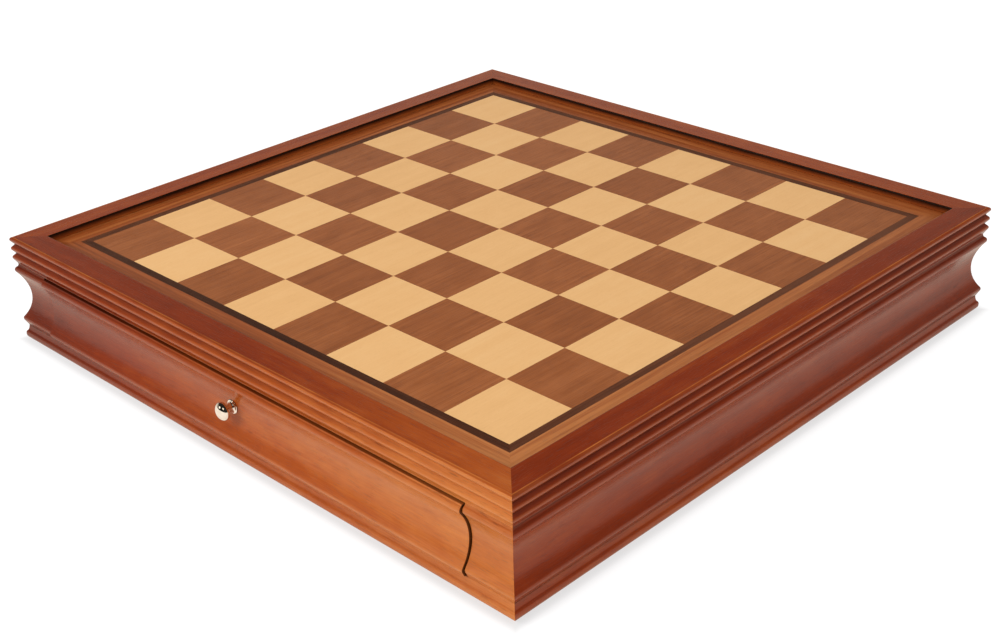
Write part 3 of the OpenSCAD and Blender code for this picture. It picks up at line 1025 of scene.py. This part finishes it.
def makeDrawers():
    felt = makeFelt("greenFelt", **feltLook)
    chrome = makeMetal("chrome", **metals["chrome"])
    zinc = makeMetal("zincPlate", **metals["zincPlate"])
    for drawer, values in drawers.items():
        makeDrawerFace(drawer, **values)
        makeKnob(drawer, values["turn"], chrome)
        makeFeltSheet(drawer, felt)
        makeDividers(drawer, felt)
        finishNode(drawer + "_drawer_knob_screw", zinc, brokenEdges["screw"])


# CAD nodes that stay: each gets its material, and some get their edges broken a little

brokenEdges = {"screw": 0.1, "panel": 0.2, "board": 0.4}  # in millimetres


def finishNode(node, material, edge=0.0):
    piece = cadNodes[node]
    piece.data.materials.clear()
    piece.data.materials.append(material)
    if edge:
        weld = piece.modifiers.new("weld", "WELD")
        weld.merge_threshold = weldDistance
        bevel = piece.modifiers.new("brokenEdges", "BEVEL")
        bevel.width = edge * mm
        bevel.segments = 2
        bevel.limit_method = "ANGLE"
        bevel.angle_limit = sweepFinish["sharp"]
        piece.modifiers.new("flatNormals", "WEIGHTED_NORMAL")


boardEdges = {
    # side: direction of the grain, tones of the stripe and of the border
    "front": ("X", (0.65, 0.25, 0.70), (0.50, 0.40, 1.00)),
    "right": ("Y", (0.80, 0.95, 0.95), (0.95, 0.75, 0.65)),
    "back": ("X", (0.75, 0.75, 0.80), (0.50, 0.55, 0.60)),
    "left": ("Y", (0.70, 0.70, 0.70), (0.50, 0.55, 0.50)),
}


def finishBoard():
    low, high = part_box("dark_squares")
    rows = 8
    squares = {"size": (high.x - low.x) / rows, "spread": 0.16}  # spread of the squares' tones
    middleTones = {"light": 0.42, "dark": 0.50}
    for seed, (kind, level) in enumerate(middleTones.items(), firstSeeds["squares"]):
        finishNode(kind + "_squares", makeWood(kind + "SquareVeneer", kind + "Veneer", "Y", seed,
                                               [level] * 3, tile=squares))
    for i, (side, (direction, *tones)) in enumerate(boardEdges.items()):
        for part, tone in zip(("stripe", "border"), tones):
            wood = makeWood(side + part.capitalize() + "Veneer", part + "Veneer", direction,
                            firstSeeds[part] + i, tone)
            finishNode(part + "_" + side, wood)
    # the board's panel keeps its sharp edges in the frame's groove
    panels = {"board": 0.0, "bottom": brokenEdges["panel"]}
    for seed, (part, edge) in enumerate(panels.items(), firstSeeds["panel"]):
        finishNode(part + "_panel", makeWood(part + "PanelPly", "plywood", "X", seed), edge)


def finishInside():
    # node: direction of the grain
    boards = {"centre_divider": "X", "guide_left": "Y", "guide_right": "Y"}
    for end in ("front", "back"):
        for side in ("left", "right"):
            boards[f"runner_{end}_{side}"] = "Y"
            boards[f"{end}_drawer_{side}_side"] = "Y"
        boards[f"{end}_drawer_inner_front"] = "X"
        boards[f"{end}_drawer_back"] = "X"
    endTones = (0.35, 0.50, 0.65)
    for i, (node, direction) in enumerate(boards.items()):
        wood = makeWood(pieceName(node) + "Wood", "boxWood", direction, firstSeeds["board"] + i,
                        (endTones[i % len(endTones)], 0.5, 0.5))
        finishNode(node, wood, brokenEdges["board"])
    for seed, end in enumerate(("front", "back"), firstSeeds["bottom"]):
        node = end + "_drawer_bottom"
        wood = makeWood(pieceName(node) + "Ply", "plywood", "X", seed)
        finishNode(node, wood, brokenEdges["panel"])


# Floor and world

def seenDirectly(tree):
    # 1 for rays that look at the surroundings, straight or in metal, glass and gloss
    path = put(tree, "LightPath").outputs
    seen = calc(tree, "MAXIMUM", path["Is Camera Ray"], path["Is Glossy Ray"])
    return calc(tree, "MAXIMUM", seen, path["Is Transmission Ray"])


def makeFloor():
    half = studio["floorSize"] / 2
    mesh = bpy.data.meshes.new("floor")
    corners = [(-half, -half), (half, -half), (half, half), (-half, half)]
    mesh.from_pydata([(x, y, -studio["floorDrop"]) for x, y in corners], [], [(0, 1, 2, 3)])
    floor = bpy.data.objects.new("floor", mesh)
    scene.collection.objects.link(floor)
    material, tree, shader = startMaterial("paleFloor")
    fillInputs(tree, shader, {"Base Color": grey(studio["floorColor"]), "Roughness": 1.0,
                              "Specular IOR Level": 0.0})
    seen = put(tree, "BsdfDiffuse", {"Color": grey(studio["floorSeen"])})
    # the contact shadow fades with the distance from the base rails' outline
    parts = put(tree, "SeparateXYZ", {0: put(tree, "TexCoord").outputs["Object"]}).outputs
    edges = (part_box("base_rail_right")[1].x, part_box("base_rail_back")[1].y)
    away = [calc(tree, "SUBTRACT", calc(tree, "ABSOLUTE", parts[axis]), edge)
            for axis, edge in enumerate(edges)]
    away = calc(tree, "DIVIDE", calc(tree, "MAXIMUM", *away), studio["contactReach"])
    fade = calc(tree, "EXPONENT", calc(tree, "MULTIPLY", calc(tree, "MULTIPLY", away, away), -1))
    white = calc(tree, "MULTIPLY_ADD", fade, -studio["contactDepth"] * studio["floorGlow"],
                 studio["floorGlow"])
    tint = mixColor(tree, put(tree, "LightPath").outputs["Is Glossy Ray"], grey(1),
                    studio["warmth"])
    glow = put(tree, "Emission", {"Color": tint, "Strength": white})
    both = put(tree, "AddShader", {0: seen.outputs[0], 1: glow.outputs[0]})
    mix = put(tree, "MixShader", {0: seenDirectly(tree), 1: shader.outputs[0],
                                  2: both.outputs[0]})
    tree.links.new(mix.outputs[0], tree.nodes["Material Output"].inputs["Surface"])
    mesh.materials.append(material)


def makeWorld():
    world = bpy.data.worlds.new("studioWorld")
    world.use_nodes = True
    scene.world = world
    tree = world.node_tree
    direction = put(tree, "TexCoord").outputs["Generated"]
    height = put(tree, "SeparateXYZ", {0: direction}).outputs["Z"]
    turn = radians(studio["backdropTurn"])
    facing = dotWith(tree, direction, (-sin(turn), cos(turn), 0))
    behind = remap(tree, facing, *studio["backdropFade"])
    backdrop = colorRamp(tree, height, [(sin(radians(up)), grey(level))
                                        for up, level in studio["backdrop"]])
    gloss = put(tree, "Mix", {0: behind, 2: studio["room"], 3: backdrop}).outputs[0]
    inner = cos(radians(studio["glintSize"]))
    outer = cos(radians(studio["glintSize"] + studio["glintBlur"]))
    for side, up in studio["glints"]:
        near = dotWith(tree, direction, directionTo(side, up))
        gloss = calc(tree, "ADD", gloss, remap(tree, near, outer, inner, 0, studio["glintLevel"]))
    path = put(tree, "LightPath").outputs
    straight = calc(tree, "MAXIMUM", path["Is Camera Ray"], path["Is Transmission Ray"])
    level = mixColor(tree, path["Is Glossy Ray"], grey(studio["ambient"]),
                     scaleBy(tree, studio["warmth"][:3], gloss))
    level = mixColor(tree, straight, level, grey(1))
    tree.links.new(level, tree.nodes["Background"].inputs["Color"])


makeCamera(cameraView)
for name, values in softboxes.items():
    makeSoftbox(name, **values)
makeFloor()
makeWorld()
print("camera, softboxes, floor and world made")
makeMouldings()
print("moulded frame made:", len(mouldings), "pieces")
makeDrawers()
print("drawer faces, knobs and lining made")
finishBoard()
finishInside()
print("board and inner wood finished")
